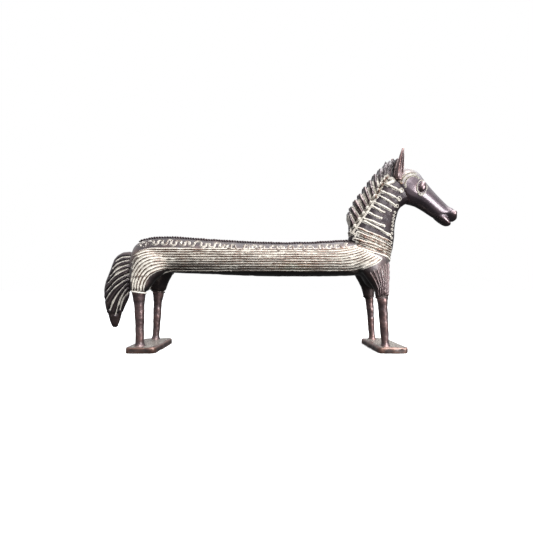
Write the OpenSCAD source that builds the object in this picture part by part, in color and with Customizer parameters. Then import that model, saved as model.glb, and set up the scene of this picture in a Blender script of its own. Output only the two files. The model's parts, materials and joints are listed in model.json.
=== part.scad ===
// Long-bodied horse statuette, cast in bronze by the lost-wax thread method.
// The maker builds the horse in wax over a clay core: a tube for the body, rolled legs on two
// foot plates, a neck, a head, and then hundreds of millimetres of thin wax thread laid on top.
// Every wax element is one node here. The cast metal joins them without any screw or pin.
// Millimetres. +X is towards the nose, +Y is the horse's left, +Z is up. The origin is on the
// ground under the middle of the horse.

/* [Stance] */
// Distance from the hind feet to the fore feet
wheelbase = 183; // [170:1:195]
// Distance between the left and the right feet
track = 32.6; // [30:0.2:36]
// Height of the belly above the ground
belly_z = 58; // [54:1:62]
// How far the middle of the stance lies behind the origin
stance_back = 13.5; // [8:0.5:18]

/* [Foot plates] */
// Length of a foot plate, along the horse
plate_length = 21.2; // [16:0.2:24]
// Width of a foot plate, across the horse
plate_width = 45; // [42:0.2:50]
// Thickness of a foot plate
plate_thick = 4; // [3:0.5:5]

/* [Body] */
// Height of the barrel at its middle
barrel_d = 26.6; // [24:0.2:30]
// Width of the barrel
barrel_w = 27.6; // [24:0.2:31]
// How far the croup rises above the back
croup_rise = 3.8; // [1:0.2:5]
// Thickness of the cast bronze wall round the clay core
wall = 3; // [2:0.5:4]
// Diameter of a fore or hind leg at half its height
leg_d = 6.8; // [6:0.2:8]

/* [Neck and head] */
// Half the thickness of the neck across the horse, at its base
neck_half = 11; // [9:0.5:13]
// Slope of the face below the horizontal
head_tilt = 37; // [30:1:45]
// Length of the head from the skull's middle to the nose
head_length = 44; // [40:1:48]
// Length of an ear
ear_length = 23; // [18:1:26]
// Length of a lock of the mane
mane_height = 17; // [13:0.5:19]
// Direction of the mane's locks, counted up from the nose
lock_lean = 100; // [95:1:115]
// Number of hair locks along the mane
mane_locks = 9; // [7:1:11]

/* [Tail] */
// Thickness of the tail across the horse
tail_thick = 12; // [9:0.5:15]
// Number of hair locks on each side of the tail
tail_locks = 8; // [6:1:10]

/* [Threads] */
// Diameter of a wax thread
thread_d = 1.1; // [0.9:0.1:1.4]
// Number of threads laid along each flank
flank_threads = 10; // [8:1:12]
// Number of threads wrapped over each side of the neck
neck_wraps = 12; // [9:1:14]
// Number of waves in the scroll along each side of the back
scroll_waves = 22; // [18:1:26]

/* [Hidden] */

bronze = "#4a3c39";
worn_bronze = "#6d4c42";
residue = "#cfc8b8";
clay = "#8a6248";

sides = 20;          // facets round a loft
leg_sides = 14;      // facets round a leg
thread_sides = 5;    // facets round a thread
thread_r = thread_d / 2;
fit_gap = 0.05;      // between the clay core and the cast wall

// The four legs were rolled by hand, so each stands a little differently: how far its top and its
// foot lie in front of the leg's anchor, and how stout it is. The first is the right one
hind_stand = [[-1.4, -0.6, 1], [2.2, -0.2, 0.96]];
fore_stand = [[-2.3, 0.1, 0.94], [-1.6, 1, 0.84]];

// Anchors
hind_x = -stance_back - wheelbase / 2;
fore_x = hind_x + wheelbase;
leg_y = track / 2;
ankle_z = plate_thick;
garter_z = belly_z - 13;
knee_z = belly_z - 17.5;
back_z = belly_z + barrel_d;
rump_x = hind_x - 12;
chest_x = fore_x + 8;
withers = [fore_x - 21.5, belly_z + 34];
skull = [fore_x + 24, belly_z + 69];
tail_root = [rump_x - 1, belly_z + 14];

// ---- Curves and lofts ----

function mix(a, b, t) = a + (b - a) * t;

// Height of the top and of the bottom of the barrel at x
function top_z(x) = back_z - 0.8
    + croup_rise * exp(-pow((x - hind_x - 16) / 42, 2))
    + 1.8 * exp(-pow((x - fore_x + 18) / 20, 2));
function low_z(x) = belly_z - 1.3
    + 3.6 * exp(-pow((x - hind_x - 16) / 48, 2))
    + 1 * exp(-pow((x - fore_x + 12) / 30, 2));

// One ring of a loft: an ellipse that passes through a top and a bottom point in the middle
// plane and is half_w wide to each side of y
function ring(top, bottom, half_w, y) =
    let (mid = (top + bottom) / 2, up = (top - bottom) / 2)
    [for (i = [0 : sides - 1])
        let (a = 360 * i / sides)
        [mid[0] + up[0] * cos(a), y + half_w * sin(a), mid[1] + up[1] * cos(a)]];

// Catmull-Rom value between the second and the third of four values
function spline(a, b, c, d, t) =
    0.5 * (2 * b + (c - a) * t + (2 * a - 5 * b + 4 * c - d) * t * t
        + (3 * b - a - 3 * c + d) * t * t * t);

// A row of stations made denser by a spline through them
function dense(rows, steps) =
    let (last = len(rows) - 1)
    concat([for (k = [0 : last - 1], s = [0 : steps - 1])
        [for (j = [0 : len(rows[0]) - 1])
            spline(rows[max(k - 1, 0)][j], rows[k][j], rows[k + 1][j],
                rows[min(k + 2, last)][j], s / steps)]],
        [rows[last]]);

// Closes a stack of rings, each a list of points, into one solid
module skin(rings) {
    n = len(rings[0]);
    m = len(rings);
    points = [for (r = rings, p = r) p];
    walls = [for (k = [0 : m - 2], i = [0 : n - 1])
        let (a = k * n + i, b = k * n + (i + 1) % n)
        each [[a, b, b + n], [a, b + n, a + n]]];
    start_cap = [for (i = [1 : n - 2]) [0, i + 1, i]];
    end_cap = [for (i = [1 : n - 2]) [(m - 1) * n, (m - 1) * n + i, (m - 1) * n + i + 1]];
    polyhedron(points, concat(walls, start_cap, end_cap));
}

// A solid through stations of [top x, top z, bottom x, bottom z, half width, y of the middle].
// The last value may be left out where it is 0
module loft(stations, steps = 2) {
    rows = dense(stations, steps);
    skin([for (s = rows)
        ring([s[0], s[1]], [s[2], s[3]], max(s[4], 0.3), len(s) > 5 ? s[5] : 0)]);
}

// A round thread along a list of points
function along(path, k) =
    let (v = path[min(k + 1, len(path) - 1)] - path[max(k - 1, 0)]) v / norm(v);
module thread(path, r = thread_r, n = thread_sides) {
    skin([for (k = [0 : len(path) - 1])
        let (t = along(path, k), s = cross([0, 0, 1], t), flat = norm(s) < 0.2,
            u = flat ? [0, 1, 0] : s / norm(s), w = cross(t, u))
        [for (i = [0 : n - 1]) let (a = -360 * i / n) path[k] + r * (u * cos(a) + w * sin(a))]]);
}

// Builds the right-hand child, or its mirror image on the left
module on_side(side) {
    if (side > 0) mirror([0, 1, 0]) children(); else children();
}

// ---- Foot plates and legs ----

module foot_plate(x) {
    corner = 3;
    color(bronze) translate([x, 0, 0]) linear_extrude(plate_thick) union() {
        square([plate_length - 2 * corner, plate_width], center = true);
        square([plate_length, plate_width - 2 * corner], center = true);
        for (sx = [-1, 1], sy = [-1, 1])
            translate([sx * (plate_length / 2 - corner), sy * (plate_width / 2 - corner)])
                circle(r = corner, $fn = 32);
    }
}

// A rolled leg of a given height on the foot plate, with a flared foot. stand is its row of
// hind_stand or fore_stand
module leg(x, stand, height, top_r) {
    d = leg_d * stand[2];
    rows = [
        [0, d * 0.64], [1.6, d * 0.5], [5, d * 0.43], [height * 0.45, d * 0.48],
        [height * 0.8, d * 0.54], [height, top_r * stand[2]]
    ];
    color(worn_bronze) skin([for (s = dense(rows, 2))
        let (x_here = x + mix(stand[1], stand[0], s[0] / height))
        [for (i = [0 : leg_sides - 1])
            let (a = 360 * i / leg_sides)
            [x_here + s[1] * cos(a), s[1] * sin(a) - leg_y, ankle_z + s[0]]]]);
}

function which(side) = side < 0 ? 0 : 1;
module hind_leg(side) on_side(side)
    leg(hind_x, hind_stand[which(side)], garter_z - ankle_z, leg_d * 0.76);
module fore_leg(side) on_side(side)
    leg(fore_x, fore_stand[which(side)], knee_z - ankle_z, leg_d * 0.6);

// A ring of thread round the top of a leg
module leg_ring(x, z, r) {
    color(residue) translate([x, -leg_y, z])
        rotate_extrude($fn = 40) translate([r, 0]) circle(r = thread_r, $fn = 16);
}
module garter(side) on_side(side)
    leg_ring(hind_x + hind_stand[which(side)][0], garter_z, leg_d * 0.8);
module knee_ring(side) on_side(side)
    leg_ring(fore_x + fore_stand[which(side)][0], knee_z, leg_d * 0.62);

// ---- Body ----

// The barrel's stations, inset by a wall where the clay core needs it
function barrel_stations(inset) = [
    for (s = [
        [0, 0.10], [0.006, 0.50], [0.02, 0.75], [0.045, 0.92], [0.09, 0.99], [0.16, 1],
        [0.3, 0.98], [0.5, 0.96], [0.7, 0.96], [0.85, 0.98], [0.94, 0.86], [0.985, 0.55], [1, 0.12]])
    let (x = mix(rump_x + inset, chest_x - inset, s[0]), mid = (top_z(x) + low_z(x)) / 2,
        half = (top_z(x) - low_z(x)) / 2 * s[1] - inset * min(1, s[1]))
    [x, mid + max(half, 0.4), x, mid - max(half, 0.4),
        max(barrel_w / 2 * s[1] - inset * min(1, s[1]), 0.4)]];

module barrel_form() loft(barrel_stations(0));

module barrel() color(bronze) difference() {
    barrel_form();
    loft(barrel_stations(wall));
}

module clay_core() color(clay) loft(barrel_stations(wall + fit_gap));

// The thigh that swells out of the barrel and narrows to the garter
module haunch(side) {
    knee_x = hind_x + hind_stand[which(side)][0];
    on_side(side) color(bronze) difference() {
        loft([
            [hind_x - 4, back_z - 4, hind_x + 6, back_z - 4, 0.6, -8],
            [hind_x - 9, back_z - 7, hind_x + 11, back_z - 7, 4.6, -8.5],
            [hind_x - 10.4, belly_z + 13, hind_x + 17, belly_z + 13, 8.6, 6.7 - leg_y],
            [hind_x - 10.4, belly_z + 4, hind_x + 17, belly_z + 4, 9.4, 6.3 - leg_y],
            [knee_x - 7.8, belly_z - 4, mix(knee_x, hind_x, 0.5) + 10.6, belly_z - 4, 6.6, 2.7 - leg_y],
            [knee_x - leg_d * 0.84, garter_z, knee_x + leg_d * 0.82, garter_z, leg_d * 0.8, 0.4 - leg_y]
        ]);
        barrel_form();
    }
}

// The upper fore leg, from the side of the barrel down to the knee ring
module shoulder(side) on_side(side) color(bronze) difference() {
    loft([
        [fore_x - 10, belly_z + 19, fore_x + 1, belly_z + 19, 0.6, -8],
        [fore_x - 15, belly_z + 14, fore_x + 4, belly_z + 14, 5.4, 6.9 - leg_y],
        [fore_x - 17, belly_z + 6, fore_x + 4.6, belly_z + 6, 7.4, 5.7 - leg_y],
        [fore_x - 14.4, belly_z, fore_x + 3.6, belly_z, 6.6, 3.9 - leg_y],
        [fore_x - 8.8, belly_z - 9, fore_x + 2.4, belly_z - 9, 4.9, 1.2 - leg_y],
        [fore_x - 2 - leg_d * 0.6, knee_z, fore_x - 2 + leg_d * 0.6, knee_z, leg_d * 0.6, 0.4 - leg_y]
    ]);
    barrel_form();
}

// The breast between the shoulders
module chest() color(bronze) difference() {
    loft([
        [chest_x - 13, belly_z - 11, chest_x - 5, belly_z - 11, 3],
        [chest_x - 18, belly_z - 6, chest_x - 2.4, belly_z - 6, 9],
        [chest_x - 22, belly_z + 3, chest_x - 0.8, belly_z + 3, 12.4],
        [chest_x - 24, belly_z + 12, chest_x + 0.4, belly_z + 12, 12.4],
        [chest_x - 22, belly_z + 16, chest_x + 0.8, belly_z + 14, 11]
    ]);
    barrel_form();
}

// ---- Threads on the flanks and the back ----

// Half width of the body at a point of its side, over the barrel and over the haunch
function barrel_y(x, z) =
    let (mid = (top_z(x) + low_z(x)) / 2, half = (top_z(x) - low_z(x)) / 2)
    barrel_w / 2 * sqrt(max(0, 1 - pow((z - mid) / half, 2)));
function haunch_y(x, z) =
    let (u = (x - hind_x - 2) / 17, w = (z - belly_z - 4) / 24)
    (leg_y + 3.8) * sqrt(max(0, 1 - 0.5 * u * u - 0.55 * w * w * w * w));
function side_y(x, z) = max(barrel_y(x, z),
    x < hind_x + 22 ? haunch_y(x, z) * min(1, (hind_x + 22 - x) / 9) : 0, 3);

// One flank thread: up from the garter, round the haunch, along the flank and up to the collar.
// level is 0 for the lowest thread and 1 for the highest. The turn round the haunch is a quarter
// of a superellipse, which is squarer in the higher threads
function flank_path(level) =
    let (flat_z = mix(belly_z + 3.4, belly_z + 18.6, level),
        garter_x = mix(hind_x + 4.4, hind_x - 6.6, level),
        bend_x = mix(hind_x + 22, hind_x + 11, level),
        turn_x = mix(fore_x - 26, fore_x - 40, level),
        end_x = mix(fore_x - 3, fore_x - 20, level),
        end_z = mix(belly_z + 12, belly_z + 21.4, level),
        square = 2 / (2 + 1.4 * level))
    concat(
        [for (a = [0 : 15 : 75]) [bend_x - (bend_x - garter_x) * pow(cos(a), square),
            garter_z + (flat_z - garter_z) * pow(sin(a), square)]],
        [for (k = [0 : 8]) [mix(bend_x, turn_x, k / 8), flat_z]],
        [for (t = [0.2 : 0.2 : 1]) [mix(turn_x, end_x, t), mix(flat_z, end_z, t * t)]]);

module flank_threads(side) on_side(side) color(residue)
    for (k = [0 : flank_threads - 1])
        thread([for (p = flank_path(k / (flank_threads - 1))) [p[0], -side_y(p[0], p[1]), p[1]]]);

// A thread laid in waves beside the spine
module back_scroll(side) on_side(side) {
    steps = 6;
    start_x = hind_x + 6;
    wave = (withers[0] - 6 - start_x) / scroll_waves;
    color(residue) thread([for (k = [0 : scroll_waves * steps])
        let (x = start_x + wave * k / steps, z = top_z(x) - 4.8 - 1.7 * cos(360 * k / steps))
        [x, -barrel_y(x, z), z]], thread_r, 4);
}

// The twisted thread along the spine
module back_braid() {
    steps = 44;
    color(bronze) thread([for (k = [0 : steps])
        let (x = mix(hind_x, withers[0] - 2, k / steps)) [x, 0, top_z(x) - 0.1]], 1.5, 8);
}

// ---- Neck ----

// Stations run from the withers to the throat; the first point is at the mane
neck_stations = [
    [withers[0] - 2.6, withers[1] - 9, chest_x + 0.6, belly_z + 10, neck_half + 0.8],
    [withers[0] - 0.8, withers[1], chest_x + 4.2, belly_z + 26, neck_half],
    [withers[0] + 7, withers[1] + 12, chest_x + 5.4, belly_z + 41, neck_half - 1.6],
    [withers[0] + 15.5, withers[1] + 25, chest_x + 8.2, belly_z + 51.6, neck_half - 2.6],
    [withers[0] + 23, withers[1] + 36, chest_x + 12.8, belly_z + 56.2, neck_half - 3],
    [withers[0] + 31, withers[1] + 45, chest_x + 18, belly_z + 58, neck_half - 3.6]
];

module neck_form() loft(neck_stations, 3);
module neck() color(bronze) difference() {
    neck_form();
    barrel_form();
}

// A point on the neck's near side, at height t of the neck (0 to 1) and angle a round it from
// the mane (0) to the throat (180)
function on_neck(t, a, out = 0) =
    let (last = len(neck_stations) - 1, place = min(t, 0.999) * last, k = floor(place), f = place - k,
        s = [for (j = [0 : 4]) mix(neck_stations[k][j], neck_stations[k + 1][j], f)],
        mid = [s[0] + s[2], s[1] + s[3]] / 2, up = [s[0] - s[2], s[1] - s[3]] / 2,
        grow = 1 + out / norm(up))
    [mid[0] + up[0] * cos(a) * grow, -(s[4] + out) * sin(a), mid[1] + up[1] * cos(a) * grow];

module neck_wraps(side) on_side(side) color(residue)
    for (k = [0 : neck_wraps - 1])
        thread([for (a = [34 : 13 : 164]) on_neck(mix(0.1, 0.9, k / (neck_wraps - 1)), a, 0.2)], 0.8);

module collar() color(residue)
    thread([for (a = [0 : 15 : 360]) on_neck(0.02, a, 0.6)], 0.9, 8);

// ---- Mane ----

// The neck's back edge, from the withers (0) to the poll (1), and up from it by a distance along
// the hair, which leans lock_lean back from the nose
function crest(t, out) =
    let (p = on_neck(mix(0.18, 0.98, t), 0))
    [p[0] + out * cos(lock_lean), p[2] + out * sin(lock_lean)];
function mane_out(t) = mane_height
    * lookup(t, [[0, 1], [0.2, 0.98], [0.45, 0.84], [0.75, 0.76], [0.9, 0.76], [1, 0.88]]);

module mane_crest() color(bronze) difference() {
    loft([for (t = [0 : 0.1 : 1])
        let (outer = crest(t, mane_out(t) - 1.2), inner = crest(t, -4))
        [outer[0], outer[1], inner[0], inner[1], 3]], 1);
    neck_form();
}

// Locks of hair lie side by side on the mane, each a slim leaf from the rope out to the edge
module mane_lock_row(side) on_side(side) color(bronze)
    for (k = [0 : mane_locks - 1]) {
        t = (k + 0.5) / mane_locks;
        root = crest(t, 0.6);
        tip = crest(t, mane_out(t));
        reach = tip - root;
        thread([for (s = [[0, 0.9], [0.35, 1], [0.75, 0.9], [1, 0.45]])
            [root[0] + reach[0] * s[0], -3 * s[1], root[1] + reach[1] * s[0]]], 1.8, 8);
    }

module mane_rope(side) on_side(side) color(residue)
    thread([for (t = [0 : 0.1 : 1]) on_neck(mix(0.1, 0.94, t), 28, 0.4)], 1.1, 8);

// Loops of thread under the throat, like the rings of a halter
module throat_loops(side) on_side(side) color(residue)
    for (k = [0 : 2]) {
        p = on_neck(mix(0.7, 0.92, k / 2), 118, 0.3);
        translate(p) rotate([90, 0, 0]) rotate([8, 16, 0])
            rotate_extrude($fn = 28) translate([1.7, 0]) circle(r = 0.5, $fn = 14);
    }

// ---- Head, drawn level with its skull at the origin and then tilted ----

module in_head() translate([skull[0], 0, skull[1]]) rotate([0, head_tilt, 0]) children();

// Stations of the head: distance to the nose, height above and below the axis, half width
module head_form() loft([for (s = [
        [-14, 7, -5, 3], [-11.5, 12, -10, 7], [-6, 14.6, -12.4, 8.8],
        [0, 14.2, -12.2, 9.2], [6, 12.4, -10.2, 8.8], [13, 10.8, -7.4, 7.6], [21, 9.4, -6.4, 6.6], [29, 8.3, -6, 5.8],
        [33, 7.8, -4.8, 5.7], [35.6, 7.7, -0.9, 5.9], [39, 7.7, -0.4, 6], [head_length - 2, 6.8, 0.2, 5.2],
        [head_length + 0.6, 4.6, 1.4, 2.6]])
    [s[0], s[1], s[0], s[2], s[3]]]);

module head() color(bronze) difference() {
    in_head() head_form();
    neck_form();
}

module lower_jaw() color(bronze) difference() {
    in_head() loft([
        [30, -2.4, 30, -5.8, 4], [33.5, -1.8, 33.5, -6.3, 4.8], [38, -1.4, 38, -6.3, 4.9],
        [head_length - 2, -1.8, head_length - 2, -5.8, 4.2],
        [head_length - 0.2, -2.8, head_length - 0.2, -4.4, 2]]);
    in_head() head_form();
}

module nostrils() color(bronze) in_head() for (s = [-1, 1])
    translate([head_length - 4.4, s * 4.4, 4.6]) sphere(r = 1.9, $fn = 24);

// The eye lies in the side of the head, turned a little forward and up
module at_eye() in_head() translate([6.4, -8.2, 4]) rotate([82, 0, -6]) children();
module eye(side) on_side(side) color(bronze) at_eye() sphere(r = 3.4, $fn = 28);
module eye_rim(side) on_side(side) color(residue) at_eye()
    rotate_extrude($fn = 36) translate([4.5, 0]) circle(r = 0.8, $fn = 16);

// A thread across the forehead from ear to ear
module brow_band() color(residue) in_head()
    thread([for (a = [-78 : 12 : 78]) [1.5 - 3.5 * pow(sin(a), 2), 9.1 * sin(a), 14.2 * cos(a)]], 0.7);

// One ring of an ear: an arc round the back and a dished front
function ear_ring(r, dish, h) = concat(
    [for (a = [40 : 35 : 320]) [r * cos(a), r * 0.8 * sin(a), h]],
    [for (t = [-0.5, 0, 0.5]) [r * 0.76 - dish * (1 - 2.4 * t * t), r * 0.8 * t, h]]);

// A pricked ear: a slim leaf with a dished front, leaning a little forward and out
module ear(side) on_side(side) color(worn_bronze)
    translate([skull[0] - 9.6, -6.4, skull[1] + 5.6]) rotate([8, 8, -25])
        skin([for (s = dense([[0, 2.6, 0], [4, 3.2, 0.8], [10, 3, 1.8], [17, 2.1, 1],
            [ear_length, 0.9, 0.2]], 2))
            ear_ring(s[1], s[2], s[0])]);

// ---- Tail ----

// Stations from the root to the tip: the outer edge, the inner edge and half the thickness
tail_stations = [
    [tail_root[0] + 1, tail_root[1] + 4.5, tail_root[0] + 1.5, tail_root[1] - 6, tail_thick * 0.36],
    [tail_root[0] - 7, tail_root[1] + 4.4, tail_root[0] + 0.6, tail_root[1] - 12, tail_thick * 0.46],
    [tail_root[0] - 14.6, tail_root[1] - 1, tail_root[0], tail_root[1] - 17, tail_thick * 0.5],
    [tail_root[0] - 19.4, tail_root[1] - 12, tail_root[0] - 0.6, tail_root[1] - 22, tail_thick * 0.5],
    [tail_root[0] - 22.4, tail_root[1] - 25, tail_root[0] - 2, tail_root[1] - 29, tail_thick * 0.46],
    [tail_root[0] - 21.8, tail_root[1] - 36, tail_root[0] - 5, tail_root[1] - 36, tail_thick * 0.4],
    [tail_root[0] - 20, tail_root[1] - 44, tail_root[0] - 8, tail_root[1] - 43, tail_thick * 0.32]
];

module tail() color(bronze) difference() {
    loft(tail_stations);
    barrel_form();
}

module tail_tip() color(bronze) loft([
    [tail_root[0] - 19.4, tail_root[1] - 44, tail_root[0] - 8.6, tail_root[1] - 43, tail_thick * 0.3],
    [tail_root[0] - 18.2, tail_root[1] - 49, tail_root[0] - 10, tail_root[1] - 48.6, tail_thick * 0.25],
    [tail_root[0] - 16.4, tail_root[1] - 54, tail_root[0] - 11.8, tail_root[1] - 54, tail_thick * 0.16],
    [tail_root[0] - 15, tail_root[1] - 55.4, tail_root[0] - 13, tail_root[1] - 55.4, tail_thick * 0.06]
]);

// A point on the tail's side: t runs from the root to the tip, across from the inner edge (0)
// to the outer one (1)
function on_tail(t, across) =
    let (last = len(tail_stations) - 1, place = min(t, 0.999) * last, k = floor(place), f = place - k,
        s = [for (j = [0 : 4]) mix(tail_stations[k][j], tail_stations[k + 1][j], f)],
        a = 180 * (1 - across))
    [mix(s[2], s[0], across), -s[4] * sin(a) * 0.94, mix(s[3], s[1], across)];

module tail_lock_row(side) on_side(side) color(residue)
    for (k = [0 : tail_locks - 1]) {
        lane = (k + 0.5) / tail_locks;
        thread([for (t = [0 : 0.125 : 1])
            on_tail(mix(0.16, mix(0.97, 0.36, pow(lane, 1.6)), t), mix(lane * 0.8 + 0.12, min(0.95, lane + 0.3), t))],
            0.8);
    }

// ---- The assembly ----

foot_plate(hind_x + 1.5);  // hind_plate
foot_plate(fore_x + 4.2);  // fore_plate
hind_leg(-1);  // hind_leg_right
hind_leg(1);  // hind_leg_left
fore_leg(-1);  // fore_leg_right
fore_leg(1);  // fore_leg_left
garter(-1);  // garter_right
garter(1);  // garter_left
knee_ring(-1);  // knee_ring_right
knee_ring(1);  // knee_ring_left
haunch(-1);  // haunch_right
haunch(1);  // haunch_left
shoulder(-1);  // shoulder_right
shoulder(1);  // shoulder_left
barrel();
clay_core();
chest();
flank_threads(-1);  // flank_threads_right
flank_threads(1);  // flank_threads_left
back_scroll(-1);  // back_scroll_right
back_scroll(1);  // back_scroll_left
back_braid();
neck();
neck_wraps(-1);  // neck_wraps_right
neck_wraps(1);  // neck_wraps_left
collar();
mane_crest();
mane_lock_row(-1);  // mane_locks_right
mane_lock_row(1);  // mane_locks_left
mane_rope(-1);  // mane_rope_right
mane_rope(1);  // mane_rope_left
throat_loops(-1);  // throat_loops_right
throat_loops(1);  // throat_loops_left
head();
lower_jaw();
nostrils();
brow_band();
eye(-1);  // eye_right
eye(1);  // eye_left
eye_rim(-1);  // eye_rim_right
eye_rim(1);  // eye_rim_left
ear(-1);  // ear_right
ear(1);  // ear_left
tail();
tail_lock_row(-1);  // tail_locks_right
tail_lock_row(1);  // tail_locks_left
tail_tip();
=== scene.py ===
# %% [markdown]
# # A cast bronze horse, dressed in wax thread
# The real horse is made by the lost-wax thread method. The maker models a clay core, covers it
# with a skin of wax, rolls the legs by hand, and lays hundreds of millimetres of wax thread over
# the flanks, the back and the neck. Bronze then takes the place of the wax, and pale mould clay
# stays behind in every groove. The lesson follows that order: skins first, threads second,
# finishes last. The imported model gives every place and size, so we load it first.

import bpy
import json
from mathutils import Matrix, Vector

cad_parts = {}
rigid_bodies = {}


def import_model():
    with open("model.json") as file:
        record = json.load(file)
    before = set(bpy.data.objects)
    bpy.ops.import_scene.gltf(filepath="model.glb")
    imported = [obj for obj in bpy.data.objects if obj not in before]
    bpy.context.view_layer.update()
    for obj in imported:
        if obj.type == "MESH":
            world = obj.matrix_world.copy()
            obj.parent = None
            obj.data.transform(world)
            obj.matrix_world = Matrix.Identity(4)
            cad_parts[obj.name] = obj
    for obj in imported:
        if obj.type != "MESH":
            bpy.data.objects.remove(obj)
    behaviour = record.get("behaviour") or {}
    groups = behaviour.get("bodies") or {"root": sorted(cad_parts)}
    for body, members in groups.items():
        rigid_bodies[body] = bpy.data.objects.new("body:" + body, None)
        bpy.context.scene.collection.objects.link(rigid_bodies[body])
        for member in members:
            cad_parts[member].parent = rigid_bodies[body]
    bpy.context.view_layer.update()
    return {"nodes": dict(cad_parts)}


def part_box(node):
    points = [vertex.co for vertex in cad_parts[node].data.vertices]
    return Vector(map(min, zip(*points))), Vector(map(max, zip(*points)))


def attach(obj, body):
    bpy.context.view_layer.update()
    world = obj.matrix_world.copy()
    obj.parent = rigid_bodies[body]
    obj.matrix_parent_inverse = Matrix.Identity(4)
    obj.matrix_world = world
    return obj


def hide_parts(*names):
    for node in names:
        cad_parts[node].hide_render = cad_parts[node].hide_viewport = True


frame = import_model()

import json
import math

import bpy
import numpy as np
from mathutils import Vector, kdtree, noise
from mathutils.bvhtree import BVHTree

mm = 0.001
packed = frame["nodes"]

# %% [markdown]
# ## Camera, floor and light
# A statuette is looked at from the side, low and close, so the near foot plates look larger than
# the far ones. A short lens at 256 mm does that. The camera could be tilted to take in the ears,
# but then the legs would lean, so it looks level and the frame is shifted upwards instead.

# %% Camera
film = 36.0
lens_share = 0.6004
stand_off = 256 * mm
camera_data = bpy.data.cameras.new("camera")
camera_data.sensor_width = film
camera_data.lens = lens_share * film
camera_data.shift_y = 0.0385
camera_data.clip_start = 5 * mm
camera = bpy.data.objects.new("camera", camera_data)
camera.location = (-10.96 * mm, -stand_off, 48.7 * mm)
camera.rotation_euler = (math.radians(90), 0, 0)
bpy.context.scene.collection.objects.link(camera)
bpy.context.scene.camera = camera
print("camera stands", round(stand_off / mm), "mm from the horse's middle plane")

# %% [markdown]
# The floor is a plain pale sheet. A real sheet would throw light up under the belly and turn the
# dark bronze there pale, so bounced and mirrored rays don't see this one.

# %% Floor
def nothing_selected():
    if bpy.context.object and bpy.context.object.mode != "OBJECT":
        bpy.ops.object.mode_set(mode="OBJECT")
    bpy.ops.object.select_all(action="DESELECT")


nothing_selected()
bpy.ops.mesh.primitive_plane_add(size=6, location=(0, 0, 0))
floor = bpy.context.object
floor.name = "floor"
floor.visible_diffuse = False
floor.visible_glossy = False
print("floor has", len(floor.data.polygons), "face")

# %% [markdown]
# The room round the horse is white to look at, but what it lights with depends on the direction:
# bright above and dark below, as on a table by a window. One white room could do both jobs, but
# then the belly would be as bright as the back.

# %% Room
room = bpy.data.worlds.new("white_room")
room.use_nodes = True
world = room.node_tree
seen = world.nodes["Background"]
seen.inputs["Strength"].default_value = 1.0
seen.inputs["Color"].default_value = (1, 1, 1, 1)
lit = world.nodes.new("ShaderNodeBackground")
lit.inputs["Color"].default_value = (0.96, 0.97, 1, 1)
way = world.nodes.new("ShaderNodeTexCoord")
axes = world.nodes.new("ShaderNodeSeparateXYZ")
above = world.nodes.new("ShaderNodeMapRange")
above.interpolation_type = "SMOOTHSTEP"
for key, value in {"From Min": -0.35, "From Max": 0.7, "To Min": 0.06, "To Max": 0.8}.items():
    above.inputs[key].default_value = value
ray = world.nodes.new("ShaderNodeLightPath")
choice = world.nodes.new("ShaderNodeMixShader")
for output, socket in [
        (way.outputs["Generated"], axes.inputs["Vector"]),
        (axes.outputs["Z"], above.inputs["Value"]),
        (above.outputs["Result"], lit.inputs["Strength"]),
        (ray.outputs["Is Camera Ray"], choice.inputs["Fac"]),
        (lit.outputs["Background"], choice.inputs[1]),
        (seen.outputs["Background"], choice.inputs[2]),
        (choice.outputs["Shader"], world.nodes["World Output"].inputs["Surface"])]:
    world.links.new(output, socket)
bpy.context.scene.world = room
bpy.context.scene.view_settings.view_transform = "Standard"
print("room made of", len(world.nodes), "nodes")

# %% [markdown]
# Four lights shape the bronze: a key lamp above the near side, a large lamp over the head for the
# long soft highlights, a small low lamp for the legs, and a wide sun as the window. Area lamps
# are used because a small hard light would put sharp dots on polished metal.

# %% Lamps
def aimed(name, data, place, direction):
    light = bpy.data.objects.new(name, data)
    light.location = place
    light.rotation_euler = Vector(direction).to_track_quat("-Z", "Y").to_euler()
    bpy.context.scene.collection.objects.link(light)


def lamp(name, place, aim, size, power):
    data = bpy.data.lights.new(name, "AREA")
    data.size = size
    data.energy = power
    aimed(name, data, place, Vector(aim) - Vector(place))


lamp("key_lamp", place=(0.10, -0.44, 0.42), aim=(0, 0, 0.07), size=0.3, power=2.3)
lamp("top_lamp", place=(0.26, 0.08, 0.66), aim=(0.08, 0, 0.1), size=0.8, power=4.3)
lamp("leg_lamp", place=(0.30, -0.30, 0.10), aim=(0, 0, 0.05), size=0.14, power=1.2)
sun = bpy.data.lights.new("window", "SUN")
sun.energy = 2.5
sun.angle = math.radians(32)
aimed("window", sun, place=(0, 0, 0), direction=(-0.36, 0.42, -1))
print("lights:", len(bpy.data.lights))

# %% [markdown]
# ## The horse's own marks
# Every route on the horse hangs on a few marks: the line of the legs, the belly, the garter, the
# withers, the skull and the root of the tail. They could be typed in, but they are measured on
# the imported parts, so a thread still lies right when the design moves.

# %% Marks
def middle(node):
    low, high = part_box(node)
    return (low + high) / 2


hind_x = middle("hind_plate").x - 1.5 * mm
fore_x = middle("fore_plate").x - 4.2 * mm
rump_x = hind_x - 6.4 * mm
garter_z = middle("garter_right").z
knee_z = middle("knee_ring_right").z
belly = garter_z + 13 * mm
withers = Vector((fore_x - 21.5 * mm, 0, belly + 34 * mm))
skull = Vector((fore_x + 24 * mm, 0, belly + 69 * mm))
tail_root = Vector((hind_x - 13 * mm, 0, belly + 14 * mm))
thread_r = 0.55 * mm
SIDES = {"right": -1, "left": 1}
print("legs at", round(hind_x / mm, 1), "and", round(fore_x / mm, 1), "mm, belly", round(belly / mm, 1))

# %% [markdown]
# ## Working on one piece at a time
# A modeller clicks a piece, opens it for editing, or gives it a modifier and applies it. These
# helpers make the same clicks. An operator acts on all that is selected, so each helper first
# selects its own piece and nothing else.

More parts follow.
